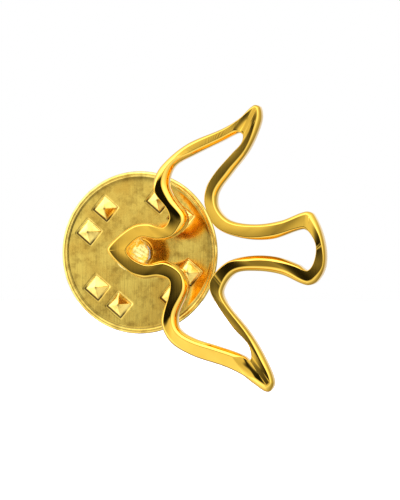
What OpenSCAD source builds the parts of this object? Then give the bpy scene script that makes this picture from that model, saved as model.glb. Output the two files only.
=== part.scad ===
// Bird lapel pin: an open outline of a flying bird with a nail post
// soldered behind its head, held by a butterfly clutch.
//
// Frame, as worn: the bird flies towards -X, +Z is up, the shiny front
// looks along -Y and the post points along +Y into the cloth.
// The origin is on the post's axis, in the plane of the bird's flat back.
// All sizes are in millimetres.

/* [Bird outline] */
// beak to tail end, along X
bird_length = 15.85; // [12:0.05:24]
// wing tip to wing tip, along Z
bird_span = 20.35; // [15:0.05:32]
// depth of the strip, back to front
bird_depth = 1.1; // [0.8:0.05:2]
// width of the rounded shoulder on each side of the flat front
shoulder_w = 0.22; // [0.1:0.01:0.35]
// drop of that shoulder from the flat front
shoulder_drop = 0.3; // [0.1:0.01:0.5]
// small round along the back edges
back_round = 0.08; // [0.03:0.01:0.15]
// steps between two outline points
outline_steps = 3; // [2:1:5]

/* [Post] */
// diameter of the nail post
post_d = 1.1; // [0.8:0.05:1.5]
// length from the bird's back to the point
post_len = 8.8; // [7:0.1:14]
// length of the cone at the point
post_cone = 0.7; // [0.4:0.05:1.2]
// diameter of the nail's head
head_d = 2.3; // [2:0.05:3]
// thickness of the nail's head
head_t = 0.35; // [0.25:0.05:0.6]
// start of the grip neck, measured from the bird's back
neck_at = 5.2; // [5.1:0.05:6]
// how far the neck is cut in all round
neck_depth = 0.17; // [0.16:0.01:0.2]
// length of the neck
neck_w = 0.8; // [0.7:0.05:1]

/* [Solder] */
// mean width of the puddle round the nail's head
puddle_w = 0.22; // [0.15:0.01:0.4]
// thickness of the puddle on the bird's back
puddle_t = 0.22; // [0.15:0.01:0.3]
// how far the solder climbs into the opening of the head
plug_rise = 0.5; // [0.2:0.05:0.8]
// gap left between the solder and the strip's sides
plug_gap = 0.015; // [0.01:0.005:0.05]

/* [Clutch position] */
// bird's back to the clutch face, measured on the post
clutch_gap = 2.7; // [2:0.05:5]
// tilt of the clutch on the post, turned about the upright axis
clutch_tilt = 5; // [0:0.5:8]

/* [Clutch face] */
// diameter over the rolled rim
face_d = 11.7; // [10:0.05:14]
// sheet thickness
face_t = 0.3; // [0.2:0.02:0.4]
// radius of the rolled rim bead
rim_r = 0.21; // [0.2:0.01:0.4]
// diameter of the middle hole
face_hole_d = 1.9; // [1.8:0.05:2.2]
// side of the square foot of each stamped pyramid
stud_side = 1.26; // [1:0.02:1.6]
// height of each pyramid
stud_h = 0.42; // [0.3:0.02:0.8]
// distance of each pyramid from the axis
stud_ring = 4.05; // [3.9:0.05:4.4]
// half the angle between the two pyramids of a pair
stud_pair = 15; // [13:0.5:18]
// turn of the whole pattern
stud_turn = 8.6; // [0:0.1:45]
// turn of each square from standing on its corner
stud_twist = 5; // [-45:1:45]

/* [Clutch housing] */
// outside diameter of the drawn cup
cup_d = 5.8; // [5.4:0.05:6.2]
// depth of the cup behind the face
cup_h = 1.95; // [1.85:0.05:2.4]
// wall of the cup
cup_t = 0.28; // [0.2:0.02:0.35]
// diameter of the foot flange
flange_d = 7.2; // [6.6:0.1:7.6]
// diameter of the hole in the cup's end
cup_hole_d = 2; // [1.9:0.05:2.2]

/* [Wings] */
// sheet thickness of a wing
wing_t = 0.35; // [0.25:0.01:0.36]
// width of the sliding blade
blade_w = 3; // [2.6:0.05:3.2]
// widest part of the butterfly wing
wing_w = 4.6; // [4:0.1:5.2]
// how far each wing moves when pinched
wing_travel = 0.3; // [0.2:0.01:0.32]
// gap between the slot and the post, all round
slot_gap = 0.08; // [0.06:0.01:0.1]
// gap between the two blades, and to the spring's tabs
blade_gap = 0.05; // [0.04:0.01:0.08]
// height of the wing's top behind the clutch face
wing_top = 4.8; // [4:0.1:6]

/* [Spring] */
// wire diameter
wire_d = 0.3; // [0.2:0.02:0.34]
// mean diameter of the ring
spring_d = 2.7; // [2.6:0.05:2.8]

/* [Hidden] */
post_r = post_d / 2;
face_r = face_d / 2;
tilt_back = 0.8;                        // the clutch tips about its blades
blade_low = face_t + 0.35;              // front of the first blade
blade_high = blade_low + wing_t + blade_gap;
spring_z = blade_high + wing_t + 0.1 + wire_d / 2;
tab_in = spring_d / 2 + wire_d / 2 + blade_gap;
tab_t = 0.3;
blade_end = tab_in - 2 * wing_travel - blade_gap;
slot_r = post_r + slot_gap;
roof = face_t + cup_h - cup_t;
bend_r = 0.6;
brass = [0.83, 0.68, 0.35];
steel = [0.72, 0.72, 0.72];
tin = [0.85, 0.78, 0.55];

// Matching points on the two edges of the strip: [outer x, outer z,
// inner x, inner z], from the beak over the head and round the bird.
edge = [
    // beak and top of the head
    [-1.6, 0.1, -0.1, 0.1], [-1.1, 0.9, 0.3, 0.7],
    [0.3, 1.9, 1.0, 1.1], [1.4, 2.1, 2.0, 0.9],
    // neck and front of the upper wing
    [2.5, 1.8, 3.1, 1.05], [2.95, 2.4, 4.1, 1.95],
    [2.75, 3.1, 4.15, 2.7], [1.9, 4.2, 3.2, 4.05],
    [1.75, 5.0, 2.85, 5.0], [2.35, 6.2, 3.3, 6.15],
    // leading edge and tip of the upper wing
    [4.2, 7.7, 4.7, 6.95], [6.8, 8.8, 6.7, 7.9],
    [8.0, 9.5, 7.7, 8.4], [9.05, 10.45, 8.1, 8.5],
    [9.5, 10.3, 8.3, 8.3], [9.55, 9.3, 8.15, 7.75],
    // back of the upper wing down to the armpit
    [8.7, 7.3, 7.5, 7.05], [7.4, 5.6, 6.25, 5.65],
    [6.45, 4.25, 5.6, 4.55], [6.45, 3.2, 5.55, 3.3],
    // upper edge of the tail
    [7.3, 2.3, 6.35, 1.8], [9.1, 2.0, 8.1, 1.05],
    [11.0, 2.25, 10.3, 0.95], [12.8, 2.9, 12.6, 1.65],
    // end of the tail
    [13.35, 2.7, 13.1, 1.4], [14.1, 0.9, 13.55, 0.45],
    [14.2, -0.9, 13.4, -0.7], [13.6, -2.05, 12.95, -1.25],
    // lower edge of the tail
    [12.85, -2.3, 12.25, -0.85], [11.0, -1.55, 10.6, -0.3],
    [9.2, -1.3, 8.7, -0.25], [7.65, -1.5, 7.1, -0.7],
    [6.8, -2.7, 5.95, -1.95],
    // back of the lower wing
    [7.1, -3.6, 6.0, -2.95], [8.7, -5.6, 7.55, -5.3],
    [9.8, -7.4, 8.65, -6.5],
    // tip and leading edge of the lower wing
    [10.5, -9.2, 8.9, -7.3], [10.05, -9.9, 8.8, -7.6],
    [9.0, -9.3, 8.4, -7.35], [8.2, -8.7, 7.7, -7.05],
    [6.9, -8.1, 6.3, -6.6], [4.6, -7.35, 4.6, -6.05],
    [2.95, -6.35, 3.65, -5.4],
    // front of the lower wing and the throat
    [2.35, -4.9, 3.5, -4.5], [2.95, -2.8, 4.25, -2.55],
    [2.9, -1.95, 3.85, -1.35], [2.1, -1.75, 2.65, -0.6],
    [1.0, -1.85, 1.4, -0.8], [-0.05, -1.35, 0.45, -0.5]
];

$fn = 64;

// ---- the strip's two edges as smooth closed curves ----
// the listed outline is stretched so that its outside has the sizes asked for
function extent(v) = max(v) - min(v);
listed = curve([for (e = edge) [e[0], e[1]]], outline_steps);
sx = bird_length / extent([for (p = listed) p[0]]);
sz = bird_span / extent([for (p = listed) p[1]]);
outer_pts = [for (e = edge) [e[0] * sx, e[1] * sz]];
inner_pts = [for (e = edge) [e[2] * sx, e[3] * sz]];

// direction of a closed curve at its point i, per unit of length
function heading(p, i) =
    let (n = len(p), a = p[(i + n - 1) % n], b = p[i], c = p[(i + 1) % n])
    (c - a) / (norm(c - b) + norm(b - a));

// cubic curve from a to b that leaves along ta and arrives along tb
function blend_pt(a, b, ta, tb, t) =
    let (l = norm(b - a))
    (2 * t ^ 3 - 3 * t ^ 2 + 1) * a + (t ^ 3 - 2 * t ^ 2 + t) * l * ta
    + (3 * t ^ 2 - 2 * t ^ 3) * b + (t ^ 3 - t ^ 2) * l * tb;

// all points of the smooth closed curve, m steps per given point
function curve(p, m) = [for (i = [0 : len(p) - 1]) for (j = [0 : m - 1])
    blend_pt(p[i], p[(i + 1) % len(p)], heading(p, i),
        heading(p, (i + 1) % len(p)), j / m)];

// the curve moved sideways by d, to the right of its own direction
function aside(q, d) = [for (i = [0 : len(q) - 1])
    let (n = len(q), v = q[(i + 1) % n] - q[(i + n - 1) % n], u = v / norm(v))
    q[i] + d * [u[1], -u[0]]];

// [inset, distance in front of the back plane] down one side of the strip
side_steps = [[back_round, 0], [0, back_round],
    for (a = [0, 35, 62, 90])
        [shoulder_w * (1 - cos(a)), bird_depth - shoulder_drop * (1 - sin(a))]];

module strip_ring(q_out, q_in, steps) {
    n = len(q_out);
    k = len(steps);
    loops = [for (s = steps) [aside(q_out, s[0]), s[1]],
        for (j = [k - 1 : -1 : 0]) [aside(q_in, -steps[j][0]), steps[j][1]]];
    pts = [for (i = [0 : n - 1]) for (l = loops)
        [l[0][i][0], -l[1], l[0][i][1]]];
    m = 2 * k;
    faces = [for (i = [0 : n - 1]) for (j = [0 : m - 1])
        let (a = i * m + j, b = i * m + (j + 1) % m,
             c = ((i + 1) % n) * m + (j + 1) % m, d = ((i + 1) % n) * m + j)
        each [[a, b, c], [a, c, d]]];
    polyhedron(points = pts, faces = faces, convexity = 8);
}

module bird_outline() {
    color(brass)
        strip_ring(curve(outer_pts, outline_steps),
            curve(inner_pts, outline_steps), side_steps);
}

// things turned about the post: z of the profile becomes +Y
module along_post() rotate([-90, 0, 0]) children();

module post() {
    straight = post_len - post_cone;
    color(steel) along_post() rotate_extrude() polygon([
        [0, 0], [head_d / 2, 0], [head_d / 2, head_t], [post_r, head_t],
        [post_r, neck_at], [post_r - neck_depth, neck_at + 0.12],
        [post_r - neck_depth, neck_at + neck_w - 0.12],
        [post_r, neck_at + neck_w], [post_r, straight],
        [0.08, post_len], [0, post_len]]);
}

// edge of the puddle: a round blob that sags towards the throat
function puddle_edge(a) = head_d / 2 + puddle_w
    + 0.07 * cos(a - 235) + 0.02 * cos(3 * a) + 0.012 * cos(7 * a + 40);

module solder() {
    inner = aside(curve(inner_pts, outline_steps), plug_gap);
    n = len(inner);
    first = n - 2 * outline_steps;
    reach = head_d / 2 + puddle_w - 0.05;
    lip = [for (i = [first : n + 3 * outline_steps]) inner[i % n]];
    kept = [for (p = lip) if (p[0] < reach * 0.9) p];
    right = [for (a = [-1 : 0.25 : 1])
        [reach - 0.05 * a * a + 0.02 * cos(a * 500),
            a * 0.5 * (kept[len(kept) - 1][1] - kept[0][1])
            + 0.5 * (kept[len(kept) - 1][1] + kept[0][1])]];
    color(tin) {
        difference() {
            along_post() linear_extrude(puddle_t)
                polygon([for (a = [0 : 6 : 354])
                    puddle_edge(a) * [cos(a), -sin(a)]]);
            along_post() translate([0, 0, -1]) cylinder(d = head_d, h = 3);
        }
        along_post() translate([0, 0, -plug_rise]) linear_extrude(plug_rise)
            polygon([for (p = kept) [p[0], -p[1]],
                for (i = [len(right) - 1 : -1 : 0]) [right[i][0], -right[i][1]]]);
    }
}

// seat of the clutch on the post: z runs backwards from the clutch face
module on_clutch()
    translate([0, clutch_gap + tilt_back, 0]) rotate([0, 0, -clutch_tilt])
        translate([0, -tilt_back, 0]) along_post() children();

module studs(side, high, z0) {
    for (q = [0 : 3]) for (s = [-1, 1])
        let (a = 45 + 90 * q + stud_turn + s * stud_pair)
            translate([stud_ring * cos(a), -stud_ring * sin(a), z0])
                rotate([180, 0, -stud_twist])
                    cylinder(r1 = side * sqrt(0.5), r2 = 0.1 * side, h = high,
                        $fn = 4);
}

module clutch_face() {
    mid = face_r - rim_r;
    color(brass) on_clutch() difference() {
        union() {
            rotate_extrude($fn = 96) union() {
                translate([face_hole_d / 2, 0])
                    square([mid - face_hole_d / 2, face_t]);
                translate([mid, face_t - 0.08]) circle(r = rim_r, $fn = 20);
            }
            studs(stud_side, stud_h, 0.02);
        }
        studs(stud_side - 0.5, stud_h - 0.1, face_t + 0.01);
    }
}

module clutch_housing() {
    r = cup_d / 2;
    window_top = blade_high + wing_t + 0.12 - face_t;
    color(brass) on_clutch() translate([0, 0, face_t]) difference() {
        rotate_extrude() polygon([
            [r - cup_t, 0], [flange_d / 2, 0], [flange_d / 2, cup_t], [r, cup_t],
            [r, cup_h - 0.35],
            for (a = [15 : 15 : 90])
                [r - 0.35 * (1 - cos(a)), cup_h - 0.35 * (1 - sin(a))],
            [cup_hole_d / 2, cup_h], [cup_hole_d / 2, cup_h - cup_t],
            [r - cup_t - 0.1, cup_h - cup_t], [r - cup_t, cup_h - cup_t - 0.1]]);
        translate([-blade_w / 2 - 0.2, -r - 2, cup_t])
            cube([blade_w + 0.4, cup_d + 4, window_top - cup_t]);
    }
}

// half outline of a wing seen along the blade: [half width, height]
wing_half = [[blade_w / 2, 0], [blade_w / 2, 1.5],
    for (t = [0.25 : 0.25 : 1])
        [blade_w / 2 + (wing_w - blade_w) / 4 * (1 - cos(180 * t)), 1.5 + 1.5 * t],
    for (a = [0 : 15 : 90])
        [wing_w / 2 - 0.9 * (1 - cos(a)), wing_top - 0.9 * (1 - sin(a))]];

// one wing, pointing along +x, its blade starting at height z0
module wing(z0) {
    lean = 80;                          // climb of the wing, in degrees
    x0 = cup_d / 2 + wing_travel + 0.05; // where the bend starts
    ri = bend_r - wing_t;
    zc = z0 + bend_r;
    run = (wing_top - zc) / sin(lean);  // long enough to pass the top edge
    foot_in = [x0 + ri * sin(lean), zc - ri * cos(lean)];
    foot_out = [x0 + bend_r * sin(lean), zc - bend_r * cos(lean)];
    up = [cos(lean), sin(lean)];
    difference() {
        union() {
            translate([-blade_end, -blade_w / 2, z0])
                cube([blade_end + x0, blade_w, wing_t]);
            intersection() {
                rotate([90, 0, 0]) translate([0, 0, -wing_w / 2])
                    linear_extrude(wing_w) polygon([
                        [x0 - 0.3, z0],
                        for (a = [0 : 12 : lean])
                            [x0 + bend_r * sin(a), zc - bend_r * cos(a)],
                        foot_out + run * up, foot_in + run * up,
                        for (a = [lean : -12 : 0])
                            [x0 + ri * sin(a), zc - ri * cos(a)],
                        [x0 - 0.3, z0 + wing_t]]);
                rotate([90, 0, 90]) translate([0, 0, x0 - 0.3])
                    linear_extrude(4) polygon(concat(wing_half,
                        [for (i = [len(wing_half) - 1 : -1 : 0])
                            [-wing_half[i][0], wing_half[i][1]]]));
            }
            translate([tab_in, -0.6, z0 + 0.1])
                cube([tab_t, 1.2, roof - 0.1 - z0 - 0.1]);
        }
        // slot that lets the post through
        translate([0, 0, z0 - 1]) cylinder(r = slot_r, h = 2 + wing_t);
        translate([wing_travel + slot_gap, 0, z0 - 1])
            cylinder(r = slot_r, h = 2 + wing_t);
        translate([0, -slot_r, z0 - 1])
            cube([wing_travel + slot_gap, 2 * slot_r, 2 + wing_t]);
    }
}

// the wings are pinched together up and down, along Z
module wing_upper() color(brass) on_clutch() rotate([0, 0, -90]) wing(blade_high);
module wing_lower() color(brass) on_clutch() rotate([0, 0, 90]) wing(blade_low);

module clutch_spring() {
    color(steel) on_clutch() translate([0, 0, spring_z])
        rotate([0, 0, 22]) rotate_extrude(angle = 316)
            translate([spring_d / 2, 0]) circle(d = wire_d, $fn = 16);
}

bird_outline();
post();
solder();
clutch_face();
clutch_housing();
wing_lower();
wing_upper();
clutch_spring();
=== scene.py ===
# %% [markdown]
# # A bird lapel pin with its butterfly clutch
# The pin is an open outline of a flying bird, cast in brass, polished and
# gold plated. A nail post is soldered behind its head, and a stamped clutch
# grips the post from behind the cloth. The measured model gives every piece
# its size and place; this lesson gives them their finished surfaces.

# %% Load the measured model
import bpy
import bmesh
import numpy as np
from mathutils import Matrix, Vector


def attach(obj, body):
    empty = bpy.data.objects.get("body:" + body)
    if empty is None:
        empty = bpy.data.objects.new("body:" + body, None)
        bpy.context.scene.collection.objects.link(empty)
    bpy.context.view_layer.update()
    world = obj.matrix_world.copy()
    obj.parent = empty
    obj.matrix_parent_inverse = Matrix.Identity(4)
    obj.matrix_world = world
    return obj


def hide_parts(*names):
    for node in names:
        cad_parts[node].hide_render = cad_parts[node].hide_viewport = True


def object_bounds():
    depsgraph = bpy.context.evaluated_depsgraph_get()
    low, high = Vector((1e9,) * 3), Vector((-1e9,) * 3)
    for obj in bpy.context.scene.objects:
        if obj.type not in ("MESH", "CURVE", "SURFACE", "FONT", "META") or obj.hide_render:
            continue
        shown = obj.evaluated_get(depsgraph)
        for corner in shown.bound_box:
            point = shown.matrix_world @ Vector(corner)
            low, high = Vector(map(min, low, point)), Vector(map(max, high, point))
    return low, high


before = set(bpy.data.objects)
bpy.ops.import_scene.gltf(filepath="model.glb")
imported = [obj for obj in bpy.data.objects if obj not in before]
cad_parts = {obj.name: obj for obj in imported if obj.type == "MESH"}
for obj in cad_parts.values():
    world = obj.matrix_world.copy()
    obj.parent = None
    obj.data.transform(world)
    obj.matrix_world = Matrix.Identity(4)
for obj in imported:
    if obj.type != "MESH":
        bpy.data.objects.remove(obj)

cad_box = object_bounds()
print("measured model, in mm:", [[round(v * 1000, 2) for v in c] for c in cad_box])

# %% [markdown]
# ## Three small helpers
# Everything below is worked out in millimetres as whole numpy arrays and put
# into meshes at the end. `surface` takes a grid of points and wraps it into a
# skin. It measures the volume that the skin encloses and turns the faces
# round when that comes out negative, so faces always point outwards.

# %% From a grid of points to a closed piece
MM = 0.001


def surface(name, grid, wrap=True):
    """A closed skin over grid[i, j] = (x, y, z) in mm. i always runs round in a
    ring. With wrap, j closes on itself too, as on a ring-shaped piece; without
    it the first and last columns are single points that close the two ends."""
    n, m = grid.shape[:2]
    index = np.arange(n * m).reshape(n, m)
    ahead = np.roll(index, -1, 0)
    if wrap:
        a, b = index, ahead
        c, d = np.roll(ahead, -1, 1), np.roll(index, -1, 1)
    else:
        a, b, c, d = index[:, :-1], ahead[:, :-1], ahead[:, 1:], index[:, 1:]
    quads = np.stack([a, b, c, d], -1).reshape(-1, 4)
    points = grid.reshape(-1, 3) * MM
    p = points[quads]
    sides = np.cross(p[:, 1], p[:, 2]) + np.cross(p[:, 2], p[:, 3])
    six_volumes = np.einsum("ij,ij->i", p[:, 0], sides).sum()
    if six_volumes < 0:
        quads = quads[:, ::-1]
    mesh = bpy.data.meshes.new(name)
    mesh.from_pydata(points.tolist(), [], quads.tolist())
    if not wrap:
        weld = bmesh.new()
        weld.from_mesh(mesh)
        bmesh.ops.remove_doubles(weld, verts=weld.verts, dist=1e-8)
        weld.to_mesh(mesh)
        weld.free()
    mesh.shade_smooth()
    piece = bpy.data.objects.new(name, mesh)
    bpy.context.collection.objects.link(piece)
    print(name, len(mesh.vertices), "points,", round(abs(six_volumes) / 6 / MM**3, 2), "mm3")
    return piece


# %% From a hex colour to the linear colour that the shaders use
def paint(hex_colour):
    """sRGB hex to linear RGBA: each channel c becomes ((c + 0.055) / 1.055) ** 2.4,
    or c / 12.92 where it is very dark."""
    c = np.array([int(hex_colour[i:i + 2], 16) for i in (1, 3, 5)]) / 255
    linear = np.where(c > 0.04045, ((c + 0.055) / 1.055) ** 2.4, c / 12.92)
    return (*linear.tolist(), 1.0)


# %% One node at a time
def add(tree, kind, inputs=(), **settings):
    """A new node of this kind. settings are its properties, and inputs pairs a
    socket's name or number with a value, or with another node's output."""
    made = tree.nodes.new(kind)
    for key, value in settings.items():
        setattr(made, key, value)
    for key, value in dict(inputs).items():
        if isinstance(value, bpy.types.NodeSocket):
            tree.links.new(value, made.inputs[key])
        else:
            made.inputs[key].default_value = value
    return made


def new_material(name):
    """An empty node material with its Principled shader, and that shader."""
    material = bpy.data.materials.new(name)
    material.use_nodes = True
    return material, material.node_tree, material.node_tree.nodes["Principled BSDF"]


# %% [markdown]
# ## The bird's outline
# The bird is one closed strip 1.1 mm deep and 0.7 to 2.6 mm wide, with a flat
# polished front and rounded shoulders. It could be a bevelled curve, but its
# width changes a lot at the wing tips, so it is drawn as two closed curves
# that run side by side: the outer edge and the edge of the opening. Each row
# below is one matching pair of points in mm, from the beak over the head and
# round the bird: outer x, outer z, inner x, inner z.

# %% Points of the outline
outline = np.array([
    # beak and top of the head
    [-1.6, 0.1, -0.1, 0.1], [-1.1, 0.9, 0.3, 0.7],
    [0.3, 1.9, 1.0, 1.1], [1.4, 2.1, 2.0, 0.9],
    # neck and front of the upper wing
    [2.5, 1.8, 3.1, 1.05], [2.95, 2.4, 4.1, 1.95],
    [2.75, 3.1, 4.15, 2.7], [1.9, 4.2, 3.2, 4.05],
    [1.75, 5.0, 2.85, 5.0], [2.35, 6.2, 3.3, 6.15],
    # leading edge and tip of the upper wing
    [4.2, 7.7, 4.7, 6.95], [6.8, 8.8, 6.7, 7.9],
    [8.0, 9.5, 7.7, 8.4], [9.05, 10.45, 8.1, 8.5],
    [9.5, 10.3, 8.3, 8.3], [9.55, 9.3, 8.15, 7.75],
    # back of the upper wing down to the armpit
    [8.7, 7.3, 7.5, 7.05], [7.4, 5.6, 6.25, 5.65],
    [6.45, 4.25, 5.6, 4.55], [6.45, 3.2, 5.55, 3.3],
    # upper edge of the tail
    [7.3, 2.3, 6.35, 1.8], [9.1, 2.0, 8.1, 1.05],
    [11.0, 2.25, 10.3, 0.95], [12.8, 2.9, 12.6, 1.65],
    # end of the tail
    [13.35, 2.7, 13.1, 1.4], [14.1, 0.9, 13.55, 0.45],
    [14.2, -0.9, 13.4, -0.7], [13.6, -2.05, 12.95, -1.25],
    # lower edge of the tail
    [12.85, -2.3, 12.25, -0.85], [11.0, -1.55, 10.6, -0.3],
    [9.2, -1.3, 8.7, -0.25], [7.65, -1.5, 7.1, -0.7],
    [6.8, -2.7, 5.95, -1.95],
    # back of the lower wing
    [7.1, -3.6, 6.0, -2.95], [8.7, -5.6, 7.55, -5.3],
    [9.8, -7.4, 8.65, -6.5],
    # tip and leading edge of the lower wing
    [10.5, -9.2, 8.9, -7.3], [10.05, -9.9, 8.8, -7.6],
    [9.0, -9.3, 8.4, -7.35], [8.2, -8.7, 7.7, -7.05],
    [6.9, -8.1, 6.3, -6.6], [4.6, -7.35, 4.6, -6.05],
    [2.95, -6.35, 3.65, -5.4],
    # front of the lower wing and the throat
    [2.35, -4.9, 3.5, -4.5], [2.95, -2.8, 4.25, -2.55],
    [2.9, -1.95, 3.85, -1.35], [2.1, -1.75, 2.65, -0.6],
    [1.0, -1.85, 1.4, -0.8], [-0.05, -1.35, 0.45, -0.5],
])
STEPS = 32
print(len(outline), "pairs of points,", len(outline) * STEPS, "sections")


# %% Smooth closed curves through the points
def heading(p):
    """Direction at each point of a closed curve: the way from the point before
    to the point after, divided by the length of the two legs between them."""
    before, after = np.roll(p, 1, 0), np.roll(p, -1, 0)
    legs = np.linalg.norm(after - p, axis=1) + np.linalg.norm(p - before, axis=1)
    return (after - before) / legs[:, None]


def curve(p, steps):
    """Cubic curve through closed points p. Between a and b, a distance l apart,
    it is (2t3 - 3t2 + 1) a + (t3 - 2t2 + t) l ta + (3t2 - 2t3) b + (t3 - t2) l tb,
    where ta and tb are the headings there and t runs from 0 to 1."""
    ta = heading(p)
    b, tb = np.roll(p, -1, 0), np.roll(ta, -1, 0)
    l = np.linalg.norm(b - p, axis=1)[:, None, None]
    t = (np.arange(steps) / steps)[None, :, None]
    p, ta, b, tb = (v[:, None, :] for v in (p, ta, b, tb))
    q = (2 * t**3 - 3 * t**2 + 1) * p + (t**3 - 2 * t**2 + t) * l * ta
    q = q + (3 * t**2 - 2 * t**3) * b + (t**3 - t**2) * l * tb
    return q.reshape(-1, q.shape[2])


def sideways(q):
    """The unit direction to the right of the closed curve q at each point."""
    way = np.roll(q, -1, 0) - np.roll(q, 1, 0)
    way = way / np.linalg.norm(way, axis=1)[:, None]
    return np.stack([way[:, 1], -way[:, 0]], 1)


def aside(q, d):
    """The closed curve q moved by d to its right."""
    return q + np.asarray(d)[..., None] * sideways(q)


# %% The two edges
outer, inner = curve(outline[:, 0:2], STEPS), curve(outline[:, 2:4], STEPS)
width = np.linalg.norm(outer - inner, axis=1)
print("strip width, mm:", width.min().round(2), "to", width.max().round(2))

# %% [markdown]
# ## How the strip was dressed
# The front of a hand-polished strip is nearly flat. The wheel leaned a few
# degrees one way or the other as it followed the outline, and it broke the
# two edges into shoulders, wider on the side that it came from. A mirror
# turned by 1 degree moves its reflection by 2, so these few degrees are what
# makes the front change from black through olive to gold along the bird. There
# is one row for each pair of points: outer and inner shoulder in mm, then the
# lean towards the outer side in degrees, at the outer and at the inner edge.

# %% Shoulders and lean
dressing = np.array([
    # beak and top of the head
    [0.18, 0.08, 1.5, 5.5], [0.16, 0.06, 4.0, 5.2],
    [0.14, 0.06, 5.3, 5.5], [0.18, 0.10, 6.0, 5.8],
    # neck and front of the upper wing
    [0.06, 0.14, 5.8, 4.8], [0.05, 0.36, 0.3, 3.4],
    [0.05, 0.36, 0.2, 0.8], [0.05, 0.45, 0.2, 0.8],
    [0.28, 0.48, 0.8, 0.2], [0.40, 0.40, 24.0, 20.0],
    # leading edge and tip of the upper wing
    [0.24, 0.28, 5.4, 4.3], [0.14, 0.25, 4.3, 3.8],
    [0.06, 0.26, 2.2, 4.4], [0.14, 0.08, 4.0, 4.7],
    [0.22, 0.08, 4.6, 4.8], [0.30, 0.06, 2.2, 4.8],
    # back of the upper wing down to the armpit
    [0.20, 0.06, 2.8, 3.8], [0.28, 0.05, 2.2, 3.6],
    [0.28, 0.10, 2.5, 3.7], [0.20, 0.05, 6.0, 5.6],
    # upper edge of the tail
    [0.22, 0.05, 6.0, 4.9], [0.18, 0.10, 5.0, 4.4],
    [0.20, 0.25, 3.3, 4.2], [0.20, 0.15, 4.8, 4.8],
    # end of the tail
    [0.35, 0.05, 10.0, 4.6], [0.18, 0.05, 1.4, 0.6],
    [0.12, 0.04, 2.2, 2.6], [0.30, 0.04, 1.2, 1.6],
    # lower edge of the tail
    [0.28, 0.20, 1.0, 1.4], [0.40, 0.36, 3.4, 4.2],
    [0.33, 0.36, 3.6, 3.6], [0.28, 0.08, 1.2, 0.8],
    [0.20, 0.04, 2.4, 2.8],
    # back of the lower wing
    [0.16, 0.04, 3.4, 3.7], [0.20, 0.04, 2.2, 4.6],
    [0.28, 0.04, 1.2, 4.4],
    # tip and leading edge of the lower wing
    [0.20, 0.04, 1.4, 3.4], [0.50, 0.05, 0.6, 3.2],
    [0.45, 0.10, 0.6, 1.6], [0.15, 0.35, 22.0, 22.0],
    [0.15, 0.35, 22.0, 22.0], [0.15, 0.35, 22.0, 22.0],
    [0.25, 0.35, 20.0, 18.0],
    # front of the lower wing and the throat
    [0.18, 0.40, 0.6, 0.8], [0.05, 0.32, 0.5, 3.0],
    [0.05, 0.20, 0.4, 4.0], [0.16, 0.24, 1.4, 3.6],
    [0.20, 0.16, 1.6, 3.6], [0.06, 0.12, 2.2, 3.6],
])


def eased(column):
    """A column of the table along the whole outline: from a row's value a to the
    next row's value b as a + (b - a)(3t2 - 2t3)."""
    t = (np.arange(STEPS) / STEPS)[None, :]
    a = column[:, None]
    return (a + (np.roll(a, -1, 0) - a) * (3 * t**2 - 2 * t**3)).ravel()


out_w, in_w = eased(dressing[:, 0]), eased(dressing[:, 1])
out_lean, in_lean = np.radians(eased(dressing[:, 2])), np.radians(eased(dressing[:, 3]))

# %% [markdown]
# The section goes up the outer side, over its shoulder, across the front, and
# down the inner side. A shoulder is a bevel that turns over towards the side:
# at a share x of its width it lies (1 - x)^1.6 of its drop below the front.
# Across the front, the lean changes from its outer to its inner value, most
# of it near the outer edge, and the height is the sum of those slopes.

# %% Heights across the strip
DEPTH, BACK = 1.1, 0.08
share = np.array([0, 0.05, 0.12, 0.21, 0.32, 0.45, 0.59, 0.73, 0.85, 0.94, 1])
fall = (1 - share) ** 1.6
across = np.linspace(0, 1, 17)
foot_out, foot_in = aside(outer, out_w), aside(inner, -in_w)
inwards = sideways((outer + inner) / 2)
flat = np.maximum(np.einsum("ij,ij->i", foot_in - foot_out, inwards), 0.12)
print("flat front, mm:", flat.min().round(2), "to", flat.max().round(2))


def front_height(u):
    """Height of the front at share u of its width, against its middle: the
    integral of lean_out + (lean_in - lean_out) u^0.6, times the width."""
    def slope_sum(v):
        return out_lean * v + (in_lean - out_lean) * v**1.6 / 1.6
    return flat * (slope_sum(u) - slope_sum(0.5))


def drop(w):
    """How far a shoulder of width w falls: a wider one is cut deeper."""
    return 0.16 + 0.6 * w


# %% Creases and tool chatter
# Two low ridges, at the end of the tail and at the lower armpit, mark creases
# in the strip. The chatter of a tool lies along the upper wing's leading edge.
sections = np.arange(len(outer))
run = np.concatenate([[0], np.cumsum(np.linalg.norm(np.diff(outer, axis=0), axis=1))])


def bell(at, spread):
    """A bell curve along the strip, 1 at row number at, spread rows wide."""
    return np.exp(-((sections / STEPS - at) / spread) ** 2)


ridge = 0.010 * bell(25.15, 0.07) + 0.010 * bell(31.75, 0.07)
rough = bell(10.6, 0.75) * (0.6 + 0.4 * np.sin(run * 3.1))
chatter = 0.0024 * rough * (np.sin(run * 25 + 2 * np.sin(run * 4.3)) + 0.6 * np.sin(run * 41))

# %% The section, carried round the outline
columns = []


def carry(edge, inset, up):
    """One line of the strip's surface: an edge moved inwards, at height up."""
    line = aside(edge, inset)
    columns.append(np.stack([line[:, 0], -up * np.ones(len(line)), line[:, 1]], 1))


def one_side(edge, sign, w, top):
    """The lines of one side of the strip, from its back up to the front. sign is
    1 where the strip lies to the right of the edge and -1 where it lies left."""
    lines = [(BACK, 0), (BACK * 0.3, BACK * 0.3), (0, BACK),
             (0, (BACK + top - drop(w)) / 2), (0, top - drop(w) * 1.15)]
    lines += [(w * x, top - drop(w) * f) for x, f in zip(share, fall)]
    return [(edge, sign * np.asarray(i), up) for i, up in lines]


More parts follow.
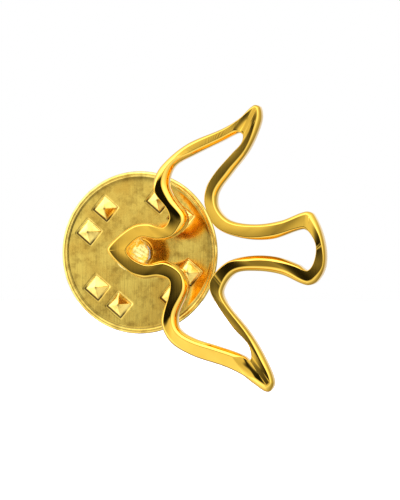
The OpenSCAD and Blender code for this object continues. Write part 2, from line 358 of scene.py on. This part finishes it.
top_out = DEPTH + front_height(0) + ridge
top_in = DEPTH + front_height(1) + ridge
for line in one_side(outer, 1, out_w, top_out):
    carry(*line)
for u in across[1:-1]:
    mid = foot_out * (1 - u) + foot_in * u
    up = DEPTH + front_height(u) + ridge + chatter * np.sin(np.pi * u)
    columns.append(np.stack([mid[:, 0], -up, mid[:, 1]], 1))
for line in one_side(inner, -1, in_w, top_in)[::-1]:
    carry(*line)
bird = surface("bird_polished", np.stack(columns, 1))

# %% [markdown]
# ## The clutch's studded face
# The face is a disc of thin brass, rolled over into a round rim, with eight
# square pyramids punched forward to bite the cloth. It is one sheet, so it is
# made as one closed loop of radius and height that goes along the front,
# round the rim, and back along the rear, carried round in a circle. The
# pyramids are a height added to that sheet.

# %% Sizes of the clutch and its seat on the post
GAP, TILT, TIP_POINT = 2.7, np.radians(5), 0.8
FACE_R, SHEET, RIM, HOLE = 5.85, 0.3, 0.21, 0.95
STUD_RING, STUD_SIDE, STUD_HIGH = 4.05, 1.26, 0.42
STUD_TURN, STUD_POWER = np.radians(50), 24
stud_angles = np.radians([45 + 90 * q + 8.6 + s * 15
                          for q in range(4) for s in (-1, 1)])


def seat(p):
    """From the clutch's own axes, y backwards from its face, to its place on the
    post: turned by the tilt about the upright line through its blades."""
    x, y = p[..., 0], p[..., 1] - TIP_POINT
    return np.stack([x * np.cos(TILT) + y * np.sin(TILT),
                     -x * np.sin(TILT) + y * np.cos(TILT) + GAP + TIP_POINT,
                     p[..., 2]], -1)


# %% Square pyramids as a height over the sheet
def stud_distance(x, z):
    """How far a point is from its nearest pyramid's middle, counted square by
    square: close to the larger of its distances u and v along the square's two
    sides, as the root (u^n + v^n)^(1/n) with a high power n."""
    nearest = np.full(x.shape, 9.0)
    for a in stud_angles:
        dx, dz = x - STUD_RING * np.cos(a), z - STUD_RING * np.sin(a)
        u = np.abs(dx * np.cos(STUD_TURN) + dz * np.sin(STUD_TURN))
        v = np.abs(dz * np.cos(STUD_TURN) - dx * np.sin(STUD_TURN))
        square = (u**STUD_POWER + v**STUD_POWER) ** (1 / STUD_POWER)
        nearest = np.minimum(nearest, square)
    return nearest


def stud_height(x, z, half, high):
    """A straight slope from the pyramid's foot to its tip, and a shallow moat
    where the punch dragged the sheet in."""
    far = stud_distance(x, z)
    slope = high * np.clip(1 - far / half, 0, 1)
    moat = 0.05 * np.exp(-((far - half - 0.03) / 0.06) ** 2)
    return slope - moat


# %% The sheet's loop of radius and height
bead = np.radians(np.linspace(-128, 90, 20))
rim_mid = FACE_R - RIM
front_r = np.concatenate([np.linspace(HOLE, 2.9, 12), np.linspace(2.94, 5.1, 56),
                          np.linspace(5.13, rim_mid - 0.16, 8)])
front_y = -0.03 * np.clip((front_r - 5.34) / 0.12, 0, 1) ** 2
rim_r = rim_mid + RIM * np.cos(bead)
rim_y = SHEET - 0.1 + RIM * np.sin(bead)
back_r = np.concatenate([np.linspace(rim_mid - 0.1, 5.0, 5),
                         np.linspace(4.92, 3.1, 26), np.linspace(2.9, HOLE, 8)])
loop_r = np.concatenate([front_r, rim_r, back_r])
loop_y = np.concatenate([front_y, rim_y, np.full(len(back_r), SHEET)])
on_front = np.arange(len(loop_r)) < len(front_r)
on_back = np.arange(len(loop_r)) >= len(front_r) + len(rim_r)

# %% Carry the loop round and raise the pyramids
ROUND = 640
angle = np.linspace(0, 2 * np.pi, ROUND, endpoint=False)[:, None]
x, z = loop_r * np.cos(angle), loop_r * np.sin(angle)
rise = stud_height(x, z, STUD_SIDE / 2, STUD_HIGH)
hollow = STUD_HIGH * np.clip(1 - stud_distance(x, z) / (STUD_SIDE / 2 - 0.2), 0, 0.9)
y = loop_y - np.where(on_front, rise, 0) - np.where(on_back, hollow, 0)
saddle = -0.0022 * x * z
face = surface("clutch_face_stamped", seat(np.stack([x, y + saddle, z], -1)))

# %% Painted shade and reflection on the face, partly tarnished in the rim's corner
def foot_shadow(x, z, half):
    """Strength of the painted shade round the pyramids: a narrow bell across each foot,
    faint all round and strong to the lower left, and a smaller one on each tip, painted dark
    in place of a shaded pit."""
    far, lower_left = stud_distance(x, z), np.zeros(x.shape)
    for a in stud_angles:
        dx, dz = x - STUD_RING * np.cos(a), z - STUD_RING * np.sin(a)
        near = np.hypot(dx, dz) < 1.8 * half
        lower_left = np.where(near, np.clip(-0.5 * dx - dz, 0, None), lower_left)
    foot = np.exp(-((far - half - 0.03) / 0.08) ** 2)
    tip = np.exp(-((far / 0.09) ** 2))
    return np.maximum(foot * (0.15 + np.clip(1.2 * lower_left / half, 0, 0.85)), 0.8 * tip)


# Painted shade and reflection: a dark ring in the corner inside the rim, partly tarnished
# where the polish never reached, widened at the top and to the right. The painted shade round
# the pyramids is added to it.
top = np.clip(np.cos(angle - np.radians(95)), 0, 1) ** 2
side = np.clip(np.cos(angle - np.radians(8)), 0, 1) ** 6
spread = 0.07 + 0.20 * top + 0.16 * side
corner = np.exp(-((loop_r - 5.44) / spread) ** 2) * (0.5 + 0.15 * np.sin(5 * angle + 0.4))
painted_shade_and_tarnish = np.where(on_front, np.maximum(corner, foot_shadow(x, z, STUD_SIDE / 2)), 0)
shade_and_tarnish_layer = face.data.attributes.new("painted_shade_and_tarnish", "FLOAT", "POINT")
shade_and_tarnish_layer.data.foreach_set("value", painted_shade_and_tarnish.ravel().astype(np.float32))

# %% [markdown]
# ## Solder behind the head
# The nail's flat head is soldered on, and a rough puddle of solder fills the
# end of the opening and squeezes out below the throat. It is a blob, so it is
# a skin of radius over angle with lumps from a few waves of different length.

# %% The solder puddle
n, m = 160, 72
angle = np.linspace(0, 2 * np.pi, n, endpoint=False)[:, None]
s = np.linspace(0, 1, m)[None, :]
reach = 1.26 + 0.07 * np.cos(angle - np.radians(235)) + 0.02 * np.cos(3 * angle)
reach = reach + 0.012 * np.cos(7 * angle + 0.7) + 0.01 * np.sin(13 * angle)
front = s < 0.5
radius = reach * np.sin(np.pi * s) ** 0.55
x, z = radius * np.cos(angle), radius * np.sin(angle)
swell = 0.045 * np.sin(5.1 * x + 2.1 * z + 0.4) + 0.03 * np.sin(8.7 * z - 3.9 * x)
swell = swell + 0.02 * np.sin(17 * x + 6 * z) * np.cos(15 * z - 4 * x)
bowl = np.clip(1 - (radius / reach) ** 2, 0, 1) ** 0.5
y = np.where(front, -bowl * (0.42 + swell), bowl * 0.12) + 0.08
solder = surface("solder_puddle", np.stack([x, y, z], -1), wrap=False)

# %% [markdown]
# ## Pieces kept from the measured model
# The post, the drawn housing, the two wings and the ring spring already have
# their true shape. Their meshes are loose triangles, so a copy of each is
# joined up at its corners and shaded smooth except at its real edges. The
# housing and the two wings also get a fine rounded edge such as a tumbled
# stamping has.


# %% Join, smooth and round a copy of a measured piece
def tumbled(node, name, edge_mm):
    """A copy of a measured piece with welded corners and edges rounded by
    edge_mm, which the original piece then stands behind."""
    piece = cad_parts[node].copy()
    piece.data = piece.data.copy()
    piece.name = piece.data.name = name
    bpy.context.collection.objects.link(piece)
    weld = bmesh.new()
    weld.from_mesh(piece.data)
    bmesh.ops.remove_doubles(weld, verts=weld.verts, dist=1e-7)
    bmesh.ops.dissolve_limit(weld, angle_limit=0.01, verts=weld.verts,
                             edges=weld.edges)
    weld.to_mesh(piece.data)
    weld.free()
    piece.data.shade_smooth()
    piece.data.set_sharp_from_angle(angle=np.radians(28))
    if edge_mm:
        rounding = piece.modifiers.new("rounded edge", "BEVEL")
        rounding.width, rounding.segments = edge_mm * MM, 2
        rounding.limit_method, rounding.angle_limit = "ANGLE", np.radians(40)
        rounding.harden_normals = True
    print(name, len(piece.data.vertices), "points")
    return piece


post = tumbled("post", "post_turned", 0)
housing = tumbled("clutch_housing", "clutch_housing_drawn", 0.03)
wing_up = tumbled("wing_upper", "wing_upper_pressed", 0.04)
wing_down = tumbled("wing_lower", "wing_lower_pressed", 0.04)
spring = tumbled("clutch_spring", "spring_ring", 0)

# %% [markdown]
# ## Gold plate over polished brass
# Gold plating is a mirror that swallows blue light. Its own colour is a warm
# yellow and each extra reflection makes it more orange, so most of its colour
# needs no paint. It gets the faint lines of the buffing wheel and slightly
# duller patches. The stamped face also gets brown handling marks, and painted
# shade and reflection: it is darkened round its pyramids and in the corner
# inside its rim, which is partly tarnished where the polish never reached.


# %% Polished gold plate
def gold_plate(name, colour, dull_colour, rough, lines_mm, depth, slant, marks=0.0):
    """Plated metal: a base colour that drifts to a duller one over a few mm,
    buffing lines lines_mm apart running at slant, roughness around rough, and
    small brown handling marks as strong as marks."""
    material, tree, shader = new_material(name)
    place = add(tree, "ShaderNodeTexCoord").outputs["Object"]
    patches = add(tree, "ShaderNodeTexNoise", {"Vector": place, "Scale": 420.0,
                  "Detail": 4.0, "Roughness": 0.6})
    stretched = add(tree, "ShaderNodeMapping", {"Vector": place,
                    "Rotation": (0.0, slant, 0.0),
                    "Scale": (1 / (lines_mm * MM), 40.0, 0.05 / (lines_mm * MM))})
    lines = add(tree, "ShaderNodeTexNoise", {"Vector": stretched.outputs[0],
                "Scale": 1.0, "Detail": 3.0, "Roughness": 0.7})
    tone = add(tree, "ShaderNodeMapRange", {"Value": patches.outputs["Fac"],
               "From Min": 0.38, "From Max": 0.72, "To Min": 0.0, "To Max": 1.0})
    blend = add(tree, "ShaderNodeMix", {0: tone.outputs[0], 6: paint(colour),
                7: paint(dull_colour)}, data_type="RGBA")
    gloss = add(tree, "ShaderNodeMapRange", {"Value": patches.outputs["Fac"],
                "From Min": 0.3, "From Max": 0.7, "To Min": rough * 0.6,
                "To Max": rough * 1.5})
    bump = add(tree, "ShaderNodeBump", {"Height": lines.outputs["Fac"],
               "Strength": 1.0, "Distance": depth * MM})
    spots = add(tree, "ShaderNodeTexNoise", {"Vector": place, "Scale": 1300.0,
                "Detail": 5.0, "Roughness": 0.65})
    shown = add(tree, "ShaderNodeMapRange", {"Value": spots.outputs["Fac"],
                "From Min": 0.46, "From Max": 0.68, "To Min": 0.0, "To Max": marks})
    handled = add(tree, "ShaderNodeMix", {0: shown.outputs[0], 6: blend.outputs[2],
                  7: paint("#8C6418")}, data_type="RGBA")
    # Painted shade and reflection, partly tarnished in the rim's corner: the colour turns
    # dark brown as far as the piece's attribute says.
    shade_and_tarnish_node = add(tree, "ShaderNodeAttribute", attribute_name="painted_shade_and_tarnish")
    with_shade_and_tarnish = add(tree, "ShaderNodeMix", {0: shade_and_tarnish_node.outputs["Fac"], 6: handled.outputs[2],
               7: paint("#2E1C08")}, data_type="RGBA")
    tree.links.new(with_shade_and_tarnish.outputs[2], shader.inputs["Base Color"])
    tree.links.new(gloss.outputs[0], shader.inputs["Roughness"])
    tree.links.new(bump.outputs[0], shader.inputs["Normal"])
    shader.inputs["Metallic"].default_value = 1.0
    return material


bird_gold = gold_plate("gold_plate_buffed", "#FFCE50", "#F6C247", 0.05, 0.12,
                       0.0006, 0.6)
face_gold = gold_plate("gold_plate_stamped_sheet", "#FFDE6C", "#E6B64A", 0.14,
                       0.16, 0.0022, 0.75, 0.55)
back_gold = gold_plate("gold_plate_drawn_sheet", "#F2CB5C", "#DCAD45", 0.22,
                       0.10, 0.003, 0.1)

# %% [markdown]
# The solder is a tin alloy under the same thin plating. It froze rough, so it
# gets a lumpy bump and sparkling highlights rather than buffing lines. The
# post is drawn wire, with its lines running along it, and the ring spring is
# bright hard steel.

# %% Plated solder, drawn wire and spring steel
tin, tree, shader = new_material("solder_tin_plated")
place = add(tree, "ShaderNodeTexCoord").outputs["Object"]
lumps = add(tree, "ShaderNodeTexNoise", {"Vector": place, "Scale": 2600.0,
            "Detail": 5.0, "Roughness": 0.65})
shade = add(tree, "ShaderNodeMix", {0: lumps.outputs["Fac"], 6: paint("#FFF3A2"),
            7: paint("#FFD75C")}, data_type="RGBA")
bump = add(tree, "ShaderNodeBump", {"Height": lumps.outputs["Fac"],
           "Strength": 1.0, "Distance": 0.06 * MM})
tree.links.new(shade.outputs[2], shader.inputs["Base Color"])
tree.links.new(bump.outputs[0], shader.inputs["Normal"])
shader.inputs["Metallic"].default_value = 1.0
shader.inputs["Roughness"].default_value = 0.28

wire = gold_plate("gold_plate_drawn_wire", "#E9C878", "#CDA964", 0.2, 0.08,
                  0.002, 1.57)
steel = gold_plate("spring_steel_wire", "#C9C7C2", "#A9A7A2", 0.2, 0.05, 0.001, 0.0)

# %% Hand each piece its body, its finish and the node that it stands for
pieces = [
    (bird, bird_gold, "pin", "gold_plate", "bird_outline"),
    (solder, tin, "pin", "solder", "solder"),
    (post, wire, "pin", "post_steel", "post"),
    (face, face_gold, "clutch", "clutch_brass", "clutch_face"),
    (housing, back_gold, "clutch", "clutch_brass", "clutch_housing"),
    (wing_up, back_gold, "upper_wing", "clutch_brass", "wing_upper"),
    (wing_down, back_gold, "lower_wing", "clutch_brass", "wing_lower"),
    (spring, steel, "grip", "spring_steel", "clutch_spring"),
]
for piece, material, body, slot, node in pieces:
    piece.data.materials.clear()
    piece.data.materials.append(material)
    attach(piece, body)
    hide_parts(node)
print(len(pieces), "pieces dressed")

# %% [markdown]
# ## Floor and light
# Polished gold is only as good as what it mirrors. The studio is a white
# tent with one dark hole. The camera stands a little to the right of straight
# ahead and the hole as far to the left, where a flat front facing straight
# ahead mirrors to. Faces that mirror the hole turn black or olive, and every
# rounded shoulder picks up the tent, which is brightest to the sides, to the
# left and above. What the eye sees past the object stays plain white. The
# floor is left out of reflections, because it would brighten the dark bands.

# %% A plain pale floor
low = cad_box[0][2] - 0.0022
mesh = bpy.data.meshes.new("floor")
side = 0.9
mesh.from_pydata([(-side, -side, low), (side, -side, low), (side, side, low),
                  (-side, side, low)], [], [(0, 1, 2, 3)])
floor = bpy.data.objects.new("floor", mesh)
bpy.context.collection.objects.link(floor)
paper, tree, shader = new_material("white_paper")
grain = add(tree, "ShaderNodeTexNoise", {"Scale": 900.0, "Detail": 2.0})
tone = add(tree, "ShaderNodeMix", {0: grain.outputs["Fac"], 6: paint("#FAFAF8"),
           7: paint("#F6F6F4")}, data_type="RGBA")
tree.links.new(tone.outputs[2], shader.inputs["Base Color"])
shader.inputs["Roughness"].default_value = 0.9
shader.inputs["Emission Color"].default_value = (1, 1, 1, 1)
shader.inputs["Emission Strength"].default_value = 0.25
mesh.materials.append(paper)
floor.visible_glossy = False

# %% The white tent with its dark hole
world = bpy.data.worlds.new("white_tent")
bpy.context.scene.world = world
world.use_nodes = True
tree = world.node_tree
tree.nodes.clear()
VIEW = np.radians(12)
hole_way = (-float(np.sin(VIEW)), -float(np.cos(VIEW)), 0.0)
way = add(tree, "ShaderNodeTexCoord").outputs["Generated"]
toward = add(tree, "ShaderNodeVectorMath", {0: way, 1: hole_way},
             operation="DOT_PRODUCT")
apart = add(tree, "ShaderNodeMath", {0: toward.outputs["Value"]},
            operation="ARCCOSINE")
share = add(tree, "ShaderNodeMath", {0: apart.outputs[0], 1: float(np.pi)},
            operation="DIVIDE")
ramp = add(tree, "ShaderNodeValToRGB", {"Fac": share.outputs[0]})
# Degrees away from the hole's middle, and the brightness there.
tent = [(0, 0.006), (2.5, 0.010), (4, 0.05), (6, 0.16), (8, 0.36), (10, 0.66),
        (12, 0.80), (20, 0.84), (26, 0.94), (34, 1.1), (42, 1.35), (55, 1.65),
        (75, 1.8), (92, 1.4), (108, 0.8), (125, 0.5), (145, 0.75), (165, 0.95),
        (180, 0.7)]
stops = ramp.color_ramp.elements
for degrees, bright in tent[1:-1]:
    stops.new(degrees / 180)
# The parts brighter than 0.95 also get a little cooler.
for stop, (degrees, bright) in zip(stops, tent):
    cool = float(np.clip((bright - 0.95) / 1.0, 0, 1))
    stop.color = (bright, bright * (1 + 0.14 * cool), bright * (0.97 + 0.8 * cool), 1)

# %% Plain white to the eye, the tent to everything else
eye = add(tree, "ShaderNodeLightPath").outputs["Is Camera Ray"]
above = add(tree, "ShaderNodeVectorMath", {0: way, 1: (-0.22, 0.0, 0.42)},
            operation="DOT_PRODUCT")
key = add(tree, "ShaderNodeMath", {0: above.outputs["Value"], 1: 1.0}, operation="ADD")
lit = add(tree, "ShaderNodeVectorMath", {0: ramp.outputs["Color"],
          "Scale": key.outputs[0]}, operation="SCALE")
mixed = add(tree, "ShaderNodeMix", {0: eye, 6: lit.outputs[0],
            7: (1.0, 1.0, 1.0, 1.0)}, data_type="RGBA")
sky = add(tree, "ShaderNodeBackground", {"Color": mixed.outputs[2], "Strength": 1.0})
add(tree, "ShaderNodeOutputWorld", {"Surface": sky.outputs[0]})

# %% The camera
right = Vector((float(np.cos(VIEW)), float(np.sin(VIEW)), 0))
toward_eye = Vector((float(np.sin(VIEW)), -float(np.cos(VIEW)), 0))
aim = right * 0.00488 + Vector((0, 0, 0.00018))
lens = bpy.data.cameras.new("camera")
lens.lens, lens.sensor_width = 400, 36
camera = bpy.data.objects.new("camera", lens)
bpy.context.collection.objects.link(camera)
field = 500 / 14.0 * MM
camera.location = aim + toward_eye * (field * 400 / 36)
camera.rotation_euler = (-toward_eye).to_track_quat("-Z", "Y").to_euler()
lens.clip_start, lens.clip_end = 0.005, 10
scene = bpy.context.scene
scene.camera = camera
scene.view_settings.view_transform = "Standard"
print("camera", [round(v * 1000, 1) for v in camera.location], "mm")
